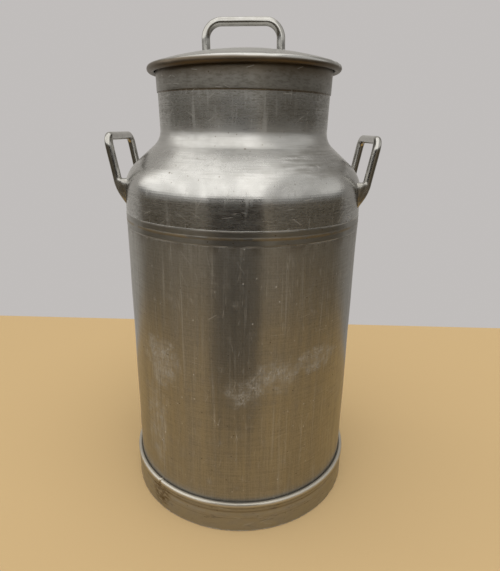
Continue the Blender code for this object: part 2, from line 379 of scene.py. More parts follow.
def divided(outline, run=RUN):
    """The same outline with long straight runs cut into short ones."""
    made = []
    for k, here in enumerate(outline):
        ahead = outline[(k + 1) % len(outline)]
        gap = ahead - here
        made.append(here)
        if gap.length > 4 * GUARD:
            made.append(here + gap.normalized() * GUARD)
            inner = gap.length - 2 * GUARD
            steps = math.ceil(inner / run)
            for j in range(1, steps):
                made.append(here + gap.normalized() * (GUARD + inner * j / steps))
            made.append(ahead - gap.normalized() * GUARD)
    return made


def arc(centre, size, start, end, steps):
    """Points on an arc, angles in degrees from outward."""
    made = []
    for k in range(steps + 1):
        angle = math.radians(start + (end - start) * k / steps)
        made.append(Vector((centre[0] + size * math.cos(angle), centre[1] + size * math.sin(angle))))
    return made


TEST_SQUARE = [(1, 0, 0.2), (9, 0, 0.2), (9, 9, 2), (1, 9, 2)]
print("a square with rounded corners has", len(divided(rounded(TEST_SQUARE))), "points")

# %% [markdown]
# ## From outline to mesh
# Blender's Screw modifier would turn an outline too, but the waves and dents have to move both
# faces of the sheet together. So the rings are placed by a short loop, which asks a function how
# far each point is pushed out and up.

# %% Turn an outline into a mesh
def skin(name, points, faces, metal):
    """A smooth-shaded object from points in millimetres."""
    mesh = bpy.data.meshes.new(name)
    mesh.from_pydata([Vector(p) * MM for p in points], [], faces)
    work = bmesh.new()
    work.from_mesh(mesh)
    bmesh.ops.recalc_face_normals(work, faces=work.faces)
    work.to_mesh(mesh)
    work.free()
    for polygon in mesh.polygons:
        polygon.use_smooth = True
    mesh.materials.append(metal)
    return link(bpy.data.objects.new(name, mesh))


def turned(name, outline, metal, push=None, sides=SIDES):
    """The outline turned about the can's axis. push gives how far a point moves out and up."""
    points, rings = [], []
    for across, up in outline:
        on_axis = across < 1e-6
        rings.append([len(points) + (0 if on_axis else k) for k in range(sides)])
        for k in range(1 if on_axis else sides):
            angle = math.tau * k / sides
            out, rise = push(angle, across, up) if push and not on_axis else (0.0, 0.0)
            reach = across + out
            points.append((reach * math.cos(angle), reach * math.sin(angle), up + rise))
    faces = []
    for k, low in enumerate(rings):
        high = rings[(k + 1) % len(rings)]
        for j in range(sides):
            after = (j + 1) % sides
            face = dict.fromkeys((low[j], low[after], high[after], high[j]))
            if len(face) > 2:
                faces.append(tuple(face))
    return skin(name, points, faces, metal)


def placed(piece, body, *nodes):
    """Ride on a body, and stand in for CAD nodes by hiding them."""
    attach(piece, body)
    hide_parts(*nodes)
    print(piece.name, len(piece.data.vertices), "points")
    return piece


def clamp(value):
    """The value kept between 0 and 1."""
    return min(1.0, max(0.0, value))


def waves(size, depth, seed):
    """A slow unevenness of the sheet, as a function for turned()."""

    def push(angle, across, up):
        at = Vector((across * math.cos(angle), across * math.sin(angle), up)) / size
        return (noise.noise(at + Vector((seed, 0, 0))) * depth, 0.0)

    return push


def dents(marks, push=None):
    """Shallow dents, each (degrees from the front, height, width, inward, downward)."""

    def both(angle, across, up):
        out, rise = push(angle, across, up) if push else (0.0, 0.0)
        for degrees, height, width, inward, downward in marks:
            around = (angle - math.radians(degrees - 90) + math.pi) % math.tau - math.pi
            far = math.hypot(around * across, up - height) / width
            fall = math.exp(-far * far)
            out -= inward * fall
            rise -= downward * fall
        return (out, rise)

    return both


print("lathe ready:", SIDES, "or", FINE_SIDES, "sides")

# %% [markdown]
# ## Places on the metal
# Every finish below needs to know where it is: how far round the can, how high up, and how far from
# the axis. Texture coordinates give that in metres, so they are turned into millimetres and degrees
# once. Patterns are made from the three straight coordinates, since noise in space has no seam at
# the back. Stretching it makes brushing: lines run the way in which the noise is stretched.

# %% A metal finish with its own places, grain, pits and scratches
class Metal(Sheet):
    """The nodes of one aluminium finish."""

    def __init__(self, name, anisotropic=0.0, flat=False):
        self.material = bpy.data.materials.new(name)
        self.material.use_nodes = True
        super().__init__(self.material.node_tree)
        self.shader = self.tree.nodes["Principled BSDF"]
        self.shader.inputs["Anisotropic"].default_value = anisotropic
        self.shader.inputs["Anisotropic Rotation"].default_value = 0.25
        places = self.split(self.node("ShaderNodeTexCoord", out="Object"))
        self.x, self.y, self.up = [place / MM for place in places]
        self.across = self.maths("SQRT", self.x * self.x + self.y * self.y)
        self.degrees = self.maths("ARCTAN2", self.x, 0 - self.y) * math.degrees(1)
        self.run = self.across if flat else self.up

    def grain(self, wide, long, detail=3.0, sharp=0.55, shift=0.0):
        """Noise with blots so many millimetres wide round the can and long along its outline.
        shift moves it, so that two grains don't lie on each other."""
        place = self.join(self.x / wide + shift, self.y / wide, self.run / long)
        values = {"Vector": place, "Scale": 1.0, "Detail": detail, "Roughness": sharp}
        return self.node("ShaderNodeTexNoise", None, values)

    def pits(self, gap, size, shift=0.0):
        """Small round spots, mostly a gap apart."""
        place = self.join(self.x / gap + shift, self.y / gap, self.up / gap)
        far = self.node("ShaderNodeTexVoronoi", None, {"Vector": place, "Scale": 1.0})
        return self.step(far * gap, size, size * 0.35)

    def scratches(self, cell, length, width, lean=0.0, spread=3.1, keep=0.5, shift=0.0):
        """One straight scratch in some of the cells, lean and spread are turns from level."""
        place = self.join(self.degrees * (170 / 57.3) / cell + shift, self.run / cell, 0.0)
        settings = {"voronoi_dimensions": "2D"}
        values = {"Vector": place, "Scale": 1.0}
        chance, middle = self.node("ShaderNodeTexVoronoi", settings, values, out=(1, 2))
        off = self.node("ShaderNodeVectorMath", {"operation": "SUBTRACT"}, {0: place, 1: middle})
        east, north, _ = self.split(off)
        turn, size, there = self.split(chance)
        angle = (turn - 0.5) * spread + lean
        cos = self.maths("COSINE", angle)
        sin = self.maths("SINE", angle)
        down = self.maths("ABSOLUTE", north * cos - east * sin) * cell
        out = self.maths("ABSOLUTE", east * cos + north * sin) * cell
        line = self.step(down, width, width * 0.3)
        ends = self.step(out / (size + 0.4), length, length * 0.5)
        return line * ends * self.step(there, 1 - keep, 1.02 - keep)

    def patch(self, degrees, height, wide, tall):
        """A soft oval, 1 in its middle, wide in degrees and tall in millimetres."""
        side = (self.degrees - degrees) / wide
        rise = (self.up - height) / tall
        return self.step(side * side + rise * rise, 1.0, 0.1)

    def line(self, height, thick):
        """A thin level line round the can."""
        return self.step(self.maths("ABSOLUTE", self.up - height), thick, thick * 0.3)

    def finish(self, colour, roughness, height, dust):
        """Join the shader. height is the relief in millimetres, dust hides the bare metal."""
        bump = self.node("ShaderNodeBump", None, {"Distance": MM, "Height": height})
        settings = {"operation": "SUBTRACT", "use_clamp": True}
        bare = self.node("ShaderNodeMath", settings, {0: 1.0, 1: dust})
        wires = {"Base Color": colour, "Roughness": roughness, "Normal": bump, "Metallic": bare}
        for name, wire in wires.items():
            self.tree.links.new(wire.socket, self.shader.inputs[name])
        print(self.material.name, len(self.tree.nodes), "nodes")
        return self.material


print("finishes can be written with:", ", ".join(k for k in vars(Metal) if k[0] != "_"))

# %% [markdown]
# ## The drawn wall
# The wall was drawn over a die, then scoured for years. The scouring left fine upright lines and
# long faint streaks. Washing left whitish clouds of oxide, a few grey runs, specks and pits. The
# scouring ran round the can as well, which spreads a reflection up and down: anisotropy does that.
# Oxide isn't bare metal, so it lowers Metallic and looks pale whatever the metal would mirror. The
# clouds are noise, made denser inside a few ovals, where the wall is whitest.

# %% Colours of the metal
# Besides the metal's own tones, oxide and dirt, PALE also serves as painted highlight, and DARK and
# BROWN as painted shade and painted dark reflection.
GREY = (0.32, 0.31, 0.285, 1)
PALE = (0.45, 0.445, 0.43, 1)
DARK = (0.16, 0.15, 0.13, 1)
BROWN = (0.10, 0.072, 0.042, 1)
TARNISH = (0.25, 0.18, 0.085, 1)
# The next colour is the painted highlight on the hoop's bead.
HIGHLIGHT_COLOUR = (0.47, 0.43, 0.35, 1)
MOUTH_FOOT = 623.8     # height of the mouth ring's lower edge
print("bare metal", GREY[:3], "and dirt", BROWN[:3])


# %% Satin finish of the wall
def satin_finish():
    metal = Metal("satin aluminium", anisotropic=0.65)
    # The brushing: upright lines, long streaks, and the rings that the scouring left.
    fine = metal.grain(1.3, 70)
    broad = metal.grain(8, 300, 2.0, shift=7)
    level = metal.grain(40, 1.5, 4.0, shift=13)
    # The oxide: clouds, broken up by a fine mottle, and denser inside the ovals.
    cloud = metal.grain(15, 17, 7.0, 0.7, shift=3)
    mottle = metal.grain(1.8, 2.6, 5.0, 0.65, shift=11)
    fields = metal.patch(-38, 262, 15, 52) + metal.patch(17, 256, 15, 34) + metal.patch(40, 271, 17, 26)
    fields = fields + metal.patch(2, 233, 12, 28) + metal.patch(-44, 150, 10, 90) * 0.7
    fields = fields + metal.patch(150, 300, 40, 60) + metal.patch(-120, 200, 30, 60)
    oxide = metal.step(cloud + fields * 0.22, 0.52, 0.90) * metal.step(mottle, 0.36, 0.66)
    # What use has left: runs, rubbed streaks on the left, one deep cut, scratches, specks and pits.
    runs = metal.step(metal.grain(3.2, 150, 3.0, shift=19), 0.57, 0.72)
    rubbed = metal.patch(-41, 180, 10, 120) * metal.step(metal.grain(1.5, 60, 3.0, shift=23), 0.52, 0.66)
    cut = metal.scratches(300, 16, 0.7, lean=0.7, spread=0.2, keep=0.9, shift=0.25)
    marks = metal.scratches(24, 7, 0.4, lean=1.57, spread=0.6, keep=0.6)
    marks = marks + metal.scratches(36, 12, 0.4, spread=2.9, keep=0.4, shift=4)
    specks = metal.pits(15, 1.4)
    pits = metal.pits(16, 1.3, shift=5)
    stain = metal.step(metal.up, 425, 440) * metal.step(metal.grain(16, 60, 4.0, shift=2), 0.45, 0.62)
    colour = metal.mix(oxide * 0.85, GREY, PALE)
    dull = (broad - 0.5) * 0.5 + (fine - 0.5) * 0.9 + (level - 0.5) * 0.9 + (cloud - 0.5) * 0.7
    colour = metal.mix(dull + (mottle - 0.5) * 1.1 + 0.17, colour, DARK)
    white = runs * 0.25 + rubbed * 0.35 + specks + (marks + cut) * 0.45
    colour = metal.mix(white, colour, PALE)
    colour = metal.mix(pits * 0.85 + stain * 0.35, colour, BROWN)
    rough = 0.36 + oxide * 0.16 + (broad - 0.5) * 0.14 + (fine - 0.5) * 0.10 + (level - 0.5) * 0.12
    height = fine * 0.005 + level * 0.010 + mottle * 0.015 + cloud * 0.04 - (marks + cut) * 0.006
    dust = oxide * 0.6 + white * 0.5 + 0.045
    return metal.finish(colour, rough + pits * 0.2, height - pits * 0.05, dust)


SATIN = satin_finish()

# %% [markdown]
# ## The spun shoulder and neck
# This sheet was pressed to shape on a spinning former, so a fine ring runs round at every height. It
# is brighter than the wall. The shoulder has pale streaks down its slope, painted reflections of
# lamps, and is rougher along them. It has a dull smear on the right. Its knuckle is rubbed smoother
# along the top and painted lighter there, a painted highlight, and below it the colour is painted
# darker in blotches, a painted dark reflection. The neck is blotched grey, and a painted shadow runs
# round it under the mouth ring's lower edge.
# Each is a mask by place, so one finish serves the whole sheet. This studio leaves the neck too
# bright, so its colour is also mixed about halfway to dark. That is paint, and not a measured
# property of the metal.

# %% Spun finish
def spun_finish():
    metal = Metal("spun aluminium", anisotropic=0.6)
    rings = metal.grain(38, 1.2, 4.0)
    bands = metal.grain(160, 5, 3.0, shift=6)
    cloud = metal.grain(20, 14, 6.0, 0.65, shift=2)
    # Pale streaks down the slope are painted reflections of lamps, and the sheet is rougher along them.
    lamp_streaks = metal.step(metal.grain(6, 90, 3.0, shift=9), 0.55, 0.70)
    neck = metal.step(metal.up, 572, 592)
    blots = metal.step(metal.grain(6, 1.8, 5.0, 0.65, shift=14), 0.44, 0.64)
    fillet = metal.step(metal.up, 545, 556) * metal.step(metal.up, 582, 570)
    smear = metal.patch(44, 540, 30, 26) * metal.step(metal.grain(34, 3, 4.0, shift=5), 0.38, 0.62)
    # Below the knuckle the colour is painted darker, a painted dark reflection, and along its top it is
    # painted lighter, a painted highlight.
    band = metal.step(metal.up, 499, 490)
    knuckle_highlight = metal.step(metal.up, 494, 499) * metal.step(metal.up, 522, 508)
    # A painted shadow on the neck, under the mouth ring's lower edge.
    dark_line = metal.line(MOUTH_FOOT - 1.0, 1.3)
    pits = metal.pits(10, 1.2)
    blacks = metal.pits(19, 2.0, shift=3) * metal.step(metal.grain(30, 10, 3.0, shift=21), 0.42, 0.60)
    marks = metal.scratches(24, 8, 0.6, spread=1.2, keep=0.4)
    marks = marks + metal.scratches(28, 10, 0.55, lean=1.2, spread=1.4, keep=0.35, shift=8)
    colour = metal.mix((cloud - 0.42) * 1.1, PALE, GREY)
    shade = neck * (0.46 + blots * 0.45) + smear * 0.6 + band * (0.05 + blots * 0.5)
    shade = shade + (bands - 0.5) * 0.4 + (rings - 0.5) * (0.9 + band * 1.1)
    colour = metal.mix(shade - knuckle_highlight * 0.2, colour, DARK)
    colour = metal.mix(pits * 0.6 + blacks * 0.8 + dark_line * 0.9, colour, BROWN)
    colour = metal.mix(marks * 0.6 + lamp_streaks * 0.3 + knuckle_highlight * 0.3, colour, PALE)
    rough = 0.27 + (rings - 0.5) * 0.18 + (bands - 0.5) * 0.16 + (cloud - 0.5) * 0.14
    rough = rough + smear * 0.14 + blots * neck * 0.10 + lamp_streaks * 0.09 - knuckle_highlight * 0.05 + fillet * 0.08
    height = rings * 0.016 + bands * 0.04 + cloud * 0.06 - pits * 0.07 - blacks * 0.10 - marks * 0.012
    return metal.finish(colour, rough, height, marks * 0.3 + smear * 0.15)


SPUN = spun_finish()

# %% [markdown]
# ## The spun lid
# The lid was spun flat, so its rings lie one inside the other and its pattern runs outward from the
# axis and not up it. Its rim is smoother on top and painted lighter there, a painted highlight, and
# the underside of the curl is painted dark brown and made rougher, a painted shade.

# %% Finish of the lid
def lid_finish():
    metal = Metal("spun lid", anisotropic=0.45, flat=True)
    rings = metal.grain(40, 0.9)
    bands = metal.grain(140, 6, 3.0, shift=6)
    cloud = metal.grain(26, 30, 6.0, 0.65, shift=2)
    pits = metal.pits(12, 1.0)
    marks = metal.scratches(28, 11, 0.5, spread=2.9, keep=0.4)
    # A painted highlight on top of the curl, and a painted shade under it.
    edge = metal.step(metal.across, 128, 134) * metal.step(metal.up, 656, 659)
    under = metal.step(metal.up, 659.5, 656.5) * metal.step(metal.across, 125, 130)
    colour = metal.mix((cloud - 0.42) * 1.1 + 0.25, PALE, GREY)
    colour = metal.mix(pits * 0.7, colour, DARK)
    colour = metal.mix(marks * 0.45 + edge * 0.6, colour, PALE)
    colour = metal.mix(under * 0.9, colour, BROWN)
    rough = 0.30 + (rings - 0.5) * 0.12 + (bands - 0.5) * 0.14 + (cloud - 0.5) * 0.14 - edge * 0.08
    rough = rough + under * 0.15
    height = rings * 0.010 + bands * 0.03 + cloud * 0.06
    return metal.finish(colour, rough, height - pits * 0.06 - marks * 0.01, marks * 0.3)


SPUN_LID = lid_finish()

# %% [markdown]
# ## Rolled strip
# The mouth ring, the lid's skirt and the foot hoop are bent from rolled strip. The hoop has had the
# hardest life: its foot is scraped, and darker lines run round its band along its grooves. The top of
# its bead is painted lighter, a painted highlight, and a painted shade darkens the crevice behind the
# bead. The ring is darkened like the neck, and painted brown near its top to stand for the shade and
# dirt under the lid. Masks by height tell them apart: neck is 1 on the ring and the skirt, low is 1
# on the hoop's band.

# %% Rolled finish
def rolled_finish():
    metal = Metal("rolled aluminium", anisotropic=0.5)
    rings = metal.grain(50, 1.1)
    cloud = metal.grain(18, 12, 6.0, 0.65, shift=4)
    scuff = metal.step(metal.grain(24, 5, 5.0, 0.65, shift=8), 0.56, 0.68)
    pits = metal.pits(10, 1.2, shift=3)
    marks = metal.scratches(22, 10, 0.55, spread=0.8, keep=0.5)
    # A painted highlight along the top of the bead.
    bead_highlight = metal.step(metal.up, 45.0, 48.0) * metal.step(metal.up, 60, 55)
    foot = metal.step(metal.up, 2.2, 1.2)
    low = metal.step(metal.up, 43.5, 42.5)
    dark_line = metal.line(36.0, 2.0) + metal.line(42.6, 1.2) + metal.line(24.0, 0.9) * 0.6
    joint = metal.patch(-41, 26, 8, 26) * metal.step(metal.grain(9, 4, 4.0, shift=17), 0.40, 0.55)
    neck = metal.step(metal.up, 600, 610)
    rim = metal.step(metal.up, 633, 650) * metal.step(metal.across, 121, 123)
    blots = metal.step(metal.grain(7, 2.4, 5.0, 0.65, shift=14), 0.44, 0.64)
    colour = metal.mix((cloud - 0.46) * 1.1 + neck * (0.55 + blots * 0.35), GREY, DARK)
    colour = metal.mix(rim * 0.72 + neck * pits * 0.6, colour, BROWN)
    colour = metal.mix(scuff * low * 0.4 + dark_line * 0.4 + pits * low * 0.7 + joint * 0.7, colour, BROWN)
    colour = metal.mix(marks * (low + neck) * 0.5 + bead_highlight * 0.8 + foot * 0.9, colour, PALE)
    rough = 0.36 + (rings - 0.5) * 0.14 + (cloud - 0.5) * 0.16 + scuff * low * 0.12
    rough = rough + bead_highlight * 0.02 - foot * 0.1
    height = (rings * 0.014 + cloud * 0.05) * (1 - bead_highlight * 0.6) - pits * low * 0.10 - marks * low * 0.03
    # A painted shade in the crevice between the bead and the wall.
    bead_shade = metal.step(metal.across, 181.0, 178.5) * metal.step(metal.up, 44, 47) * (1 - neck)
    colour = metal.mix(bead_highlight * 0.6, colour, HIGHLIGHT_COLOUR)
    colour = metal.mix(bead_shade * 0.5, colour, BROWN)
    dust = marks * (low + neck) * 0.3 + bead_highlight * 0.2 + foot * 0.4 + low * (0.10 + (cloud - 0.5) * 0.3)
    return metal.finish(colour, rough, height, dust)


ROLLED = rolled_finish()

# %% [markdown]
# ## Rod
# Hands have polished the handles, so they mirror more sharply than the sheet does. They are duller
# at their feet. A rod has no grain worth seeing at this size, and two soft noises are enough.

# %% Finish of the rods
def rod_finish():
    metal = Metal("rod aluminium")
    cloud = metal.grain(12, 12, 2.0, 0.5)
    fine = metal.grain(3.0, 3.0, 2.0, 0.5, shift=6)
    pits = metal.pits(9, 0.9)
    foot = metal.step(metal.up, 520, 500) * metal.step(metal.up, 440, 470)
    colour = metal.mix((cloud - 0.4) * 1.2 + 0.45, PALE, GREY)
    colour = metal.mix(pits * 0.6 + foot * (0.15 + metal.step(cloud, 0.45, 0.62) * 0.4), colour, DARK)
    rough = 0.17 + (cloud - 0.5) * 0.12 + (fine - 0.5) * 0.04 + foot * 0.10
    return metal.finish(colour, rough, cloud * 0.02 - pits * 0.02, foot * 0.1)


ROD_METAL = rod_finish()

# %% [markdown]
# ## Weld metal
# The welds were left as they came: lumpy, dull, and a little darker in their hollows.

# %% Finish of the welds
def weld_finish():
    metal = Metal("weld aluminium")
    lumps = metal.grain(3.0, 3.0, 5.0, 0.6)
    cloud = metal.grain(16, 16, 5.0, 0.65, shift=5)
    colour = metal.mix((cloud - 0.35) * 1.2, PALE, GREY)
    colour = metal.mix(metal.step(lumps, 0.50, 0.66) * 0.35, colour, DARK)
    rough = 0.36 + (lumps - 0.5) * 0.25 + (cloud - 0.5) * 0.2
    return metal.finish(colour, rough, lumps * 0.06 + cloud * 0.05, lumps * 0.2)


WELD = weld_finish()

# %% [markdown]
# ## The ground seam
# The girth seam was ground round the can. Its middle ridge has a golden brown stain that comes and
# goes, and its two edges catch the light here and there. Both lines are masks by height, broken up
# with noise that is much longer than it is high.

# %% Finish of the seam
def seam_finish():
    metal = Metal("ground seam", anisotropic=0.6)
    level = metal.grain(38, 1.3, 4.0)
    cloud = metal.grain(18, 9, 6.0, 0.65, shift=5)
    comes = metal.step(metal.grain(26, 300, 4.0, shift=3), 0.36, 0.56)
    ridge = metal.line(450.0, 2.4) * comes
    edges = metal.line(459.2, 0.9) * metal.step(metal.grain(40, 300, 3.0, shift=9), 0.40, 0.58)
    edges = edges + metal.line(440.8, 0.9) * metal.step(metal.grain(30, 300, 3.0, shift=15), 0.36, 0.56)
    pits = metal.pits(9, 1.3)
    colour = metal.mix((cloud - 0.35) * 1.2 + (level - 0.5) * 0.8 + 0.2, GREY, DARK)
    colour = metal.mix(pits * 0.8, colour, BROWN)
    colour = metal.mix(ridge * 0.6, colour, TARNISH)
    colour = metal.mix(edges * 0.5, colour, PALE)
    rough = 0.34 + (level - 0.5) * 0.16 + (cloud - 0.5) * 0.16 + ridge * 0.1
    return metal.finish(colour, rough, level * 0.012 + cloud * 0.05 - pits * 0.09, edges * 0.3)


SEAM = seam_finish()

# %% [markdown]
# ## The body
# The body is one deep cup. Its wall is straight, its bottom turns in on a knuckle and is dished up,
# so the can stands on its hoop and not on its bottom. The wall stops under the seam band. Slight
# waves and a few knocks are pushed into both faces of the sheet, and fade out where it is held by
# the hoop and the seam.

# %% Turn the body
WALL = 2.2
BODY_R = 177.0
BOTTOM_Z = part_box("body_shell")[0][2] / MM
KNUCKLE_LOW = 14.0
DISH = 8.0
SEAM_Z = 450.0
SEAM_HALF = 10.0
SEAM_DEPTH = 0.9
GAP = 0.3


def body_outline():
    lip = BODY_R - SEAM_DEPTH
    corner = BODY_R - KNUCKLE_LOW
    top = BOTTOM_Z + WALL
    corners = [(lip, SEAM_Z - GAP / 2, 0.2), (lip, SEAM_Z - SEAM_HALF - GAP, 0)]
    corners += [(BODY_R, SEAM_Z - SEAM_HALF - GAP, 0.3), (BODY_R, BOTTOM_Z, KNUCKLE_LOW)]
    for share in (0.8, 0.55, 0.3, 0):
        corners.append((corner * share, BOTTOM_Z + DISH * (1 - share * share), 0))
    for share in (0, 0.3, 0.55, 0.8):
        corners.append((corner * share, top + DISH * (1 - share * share), 0))
    corners.append((BODY_R - WALL, top, KNUCKLE_LOW - WALL))
    corners.append((BODY_R - WALL, SEAM_Z - GAP / 2, 0.2))
    return divided(rounded(corners))


KNOCKS = [(18, 300, 26, 0.8, 0), (-36, 150, 20, 0.7, 0), (60, 210, 30, 1.0, 0)]
KNOCKS.append((140, 260, 34, 1.2, 0))


def body_push(angle, across, up):
    out, _ = dents(KNOCKS, waves(70, 0.5, 3))(angle, across, up)
    hold = clamp((up - 55) / 40) * clamp((SEAM_Z - 10 - up) / 30)
    return ((out - 0.1) * hold, 0.0)


placed(turned("can_wall", body_outline(), SATIN, body_push), "can", "body_shell")

# %% [markdown]
# ## The shoulder
# The shoulder starts as the same straight wall, turns in on a large knuckle, runs up a cone and
# sweeps round into the neck. Both curves are arcs that meet the cone at its slope, so bright bands
# flow over them without a break. The end of the neck leans over to the left by about a degree,
# perhaps bent by years of lids.

# %% Turn the shoulder and neck
KNUCKLE_Z = 490.0
KNUCKLE = 52.0
CONE = 46.0
NECK_R = 122.5
NECK_Z = 574.0
NECK_FILLET = 28.0
NECK_TAPER = 0.022
NECK_TOP = 659.8


def neck_radius(height):
    return NECK_R + (height - NECK_Z) * NECK_TAPER


def shoulder_curve(offset, steps=14):
    """From the straight wall up to the foot of the neck, moved outward by offset."""
    knuckle = arc((BODY_R - KNUCKLE, KNUCKLE_Z), KNUCKLE + offset, 0, CONE, steps)
    centre = (NECK_R + NECK_FILLET, NECK_Z)
    return knuckle + arc(centre, NECK_FILLET - offset, 180 + CONE, 180, steps)


def shoulder_outline():
    lip = BODY_R - SEAM_DEPTH
    low, high = SEAM_Z + GAP / 2, SEAM_Z + SEAM_HALF + GAP
    outside = shoulder_curve(0)[::-1]
    outside += rounded([(BODY_R, high, 0.3), (lip, high, 0), (lip, low, 0.2), (BODY_R - WALL, low, 0.2)])
    inside = shoulder_curve(-WALL)
    top = neck_radius(NECK_TOP)
    rim = [Vector((top - WALL, NECK_TOP)), Vector((top, NECK_TOP))]
    neck = [Vector((neck_radius(MOUTH_FOOT - 10), MOUTH_FOOT - 10))]
    return divided(outside + inside + rim + neck)


SHOULDER_KNOCKS = [(42, 520, 14, 0.7, 0.4), (-28, 552, 16, 0.6, 0.3), (20, 500, 18, 0.5, 0.2)]
SHOULDER_KNOCKS += [(-14, 600, 16, 0.5, 0), (33, 594, 14, 0.6, 0), (165, 530, 22, 1.0, 0.6)]
ASKEW = math.radians(1.05)
RING_TURN = (628.0, 656.0)     # the neck's end leans over between these heights


def leaning(angle, across, up):
    """How far the bent end of the neck lifts a point."""
    share = clamp((up - RING_TURN[0]) / (RING_TURN[1] - RING_TURN[0]))
    return across * math.cos(angle) * math.tan(ASKEW) * share


def shoulder_push(angle, across, up):
    out, rise = dents(SHOULDER_KNOCKS, waves(46, 0.45, 8))(angle, across, up)
    hold = clamp((up - SEAM_Z - 12) / 25) * clamp((NECK_TOP - 40 - up) / 20)
    return ((out - 0.1) * hold, rise * hold + leaning(angle, across, up))


placed(turned("can_shoulder", shoulder_outline(), SPUN, shoulder_push), "can", "shoulder_shell")

# %% [markdown]
# ## The girth seam
# The cup and the shoulder meet edge to edge and a band of weld covers the joint. It was ground
# nearly flush, so what is left is a shallow band with two crisp edges and a ridge in the middle
# that comes and goes.

# %% Turn the seam band
SEAM_PROUD = 0.35


def seam_outline():
    inner = BODY_R - SEAM_DEPTH + GAP
    outer = BODY_R + SEAM_PROUD
    low, high = SEAM_Z - SEAM_HALF, SEAM_Z + SEAM_HALF
    corners = [(inner, low, 0), (outer - 0.1, low, 0.15), (outer, low + 2.4, 1.0)]
    corners += [(outer - 0.15, SEAM_Z - 2.2, 0.6), (outer + 0.1, SEAM_Z - 0.8, 0.4)]
    corners += [(outer + 0.1, SEAM_Z + 0.8, 0.4), (outer - 0.15, SEAM_Z + 2.2, 0.6)]
    corners += [(outer, high - 2.4, 1.0), (outer - 0.1, high, 0.15), (inner, high, 0)]
    return divided(rounded(corners), 4.0)


def seam_push(angle, across, up):
    if across < BODY_R:
        return (0.0, 0.0)
    at = Vector((math.cos(angle) * 9, math.sin(angle) * 9, up / 14))
    ridge = math.exp(-((up - SEAM_Z) / 2.0) ** 2)
    return (noise.noise(at) * 0.22 - ridge * 0.35 * max(0.0, noise.noise(at * 2.3)) - 0.12, 0.0)


placed(turned("girth_seam", seam_outline(), SEAM, seam_push, FINE_SIDES), "can", "seam_weld")

# %% [markdown]
# ## The mouth ring
# A hoop of strip is rolled round the neck and turned over its edge, which makes the pouring lip.
# Its lower edge stands off the neck, and the dark line under it is a painted shadow on the neck.

# %% Turn the mouth ring
MOUTH_R = 126.0
MOUTH_TOP = 661.2
MOUTH_BORE = 121.7


def mouth_outline():
    low = neck_radius(MOUTH_FOOT) + GAP
    high = neck_radius(NECK_TOP) + GAP
    corners = [(low, MOUTH_FOOT, 0), (low + 0.9, MOUTH_FOOT, 0.35), (low + 1.1, MOUTH_FOOT + 3, 3)]
    corners += [(MOUTH_R - 0.5, 644.0, 30), (MOUTH_R, 656.0, 4), (MOUTH_R, MOUTH_TOP, 2.2)]
    inside = NECK_TOP + GAP
    corners += [(MOUTH_BORE, MOUTH_TOP, 0.9), (MOUTH_BORE, inside, 0.2), (high, inside, 0)]
    return divided(rounded(corners), 6.0)


def mouth_push(angle, across, up):
    out, _ = waves(40, 0.3, 5)(angle, across, up)
    return (min(out, 0.0), leaning(angle, across, up))


placed(turned("mouth_ring_strip", mouth_outline(), ROLLED, mouth_push), "can", "mouth_ring")

# %% [markdown]
# ## The foot hoop
# The hoop is a band with a rounded bead along its top, bent round the wall and butt welded at the
# front left. The bead is nicked where the two ends meet. Two shallow grooves were rolled into the
# band to stiffen it, and its foot is bruised.

# %% Turn the foot hoop
HOOP_R = 183.0
BEAD_R = 184.0
HOOP_H = 51.0
BEAD_H = 7.4
HOOP_SIDES = 720       # enough for the narrow nick in the bead
JOINT = -41.5          # degrees from the front
JOINT_HALF = 2.2


def hoop_outline():
    inner = BODY_R + GAP
    neck = HOOP_H - BEAD_H
    corners = [(inner, 0.0, 0), (HOOP_R, 0.0, 1.1), (HOOP_R - 0.2, 9.0, 8), (HOOP_R - 0.3, 29.0, 3)]
    corners += [(HOOP_R - 1.1, 33.0, 3), (HOOP_R - 1.1, 38.0, 3), (HOOP_R - 0.3, 41.5, 1.5)]
    corners += [(HOOP_R - 0.9, neck, 0.8), (BEAD_R, neck + 0.2, 3.4), (BEAD_R, HOOP_H, 3.8)]
    corners += [(inner - 0.2, HOOP_H, 2.9), (inner - 0.2, HOOP_H - 5.0, 0), (inner, HOOP_H - 5.4, 0)]
    return divided(rounded(corners), 6.0)


def hoop_push(angle, across, up):
    if across < BODY_R + 1.2:
        return (0.0, 0.0)
    at = Vector((math.cos(angle), math.sin(angle), up / 90)) * 4.0
    out = min(0.0, noise.noise(at) * 0.5 - 0.1)
    around = (angle - math.radians(JOINT - 90) + math.pi) % math.tau - math.pi
    off = around * across
    if up > HOOP_H - BEAD_H - 3:
        out -= 2.6 * max(0.0, 1 - abs(off) / JOINT_HALF)
    out -= 0.35 * math.exp(-(off / 1.3) ** 2)
    foot = max(0.0, 1 - up / 5.0)
    out -= foot * max(0.0, noise.noise(at * 9)) * 1.2
    return (out, 0.0)


placed(turned("foot_hoop_strip", hoop_outline(), ROLLED, hoop_push, HOOP_SIDES), "can", "foot_hoop")

# %% [markdown]
# ## The lid
# The lid is a shallow dome whose edge rolls under in an open curl, and a plain skirt inside it that
# drops into the neck. The dome keeps the slight hollows of its pressing, and its rim is bruised.
# The whole lid is tipped to sit on the leaning neck.

# %% Turn the lid's cover and skirt
LID_R = 137.5
CURL = 5.2
CURL_Z = 656.0
LID_T = 1.9
DOME = 0.00115         # drop of the dome for each square millimetre of radius
TANGENT = 73.0         # degrees on the curl where the dome runs into it
SKIRT_R = 119.9
SKIRT_T = 2.0
SKIRT_FOOT = 618.0
EDGE_R = LID_R - CURL + CURL * math.cos(math.radians(TANGENT))
LID_TOP = CURL_Z + CURL * math.sin(math.radians(TANGENT)) + DOME * EDGE_R * EDGE_R


def dome(across, under=0.0):
    return LID_TOP - under - DOME * across * across


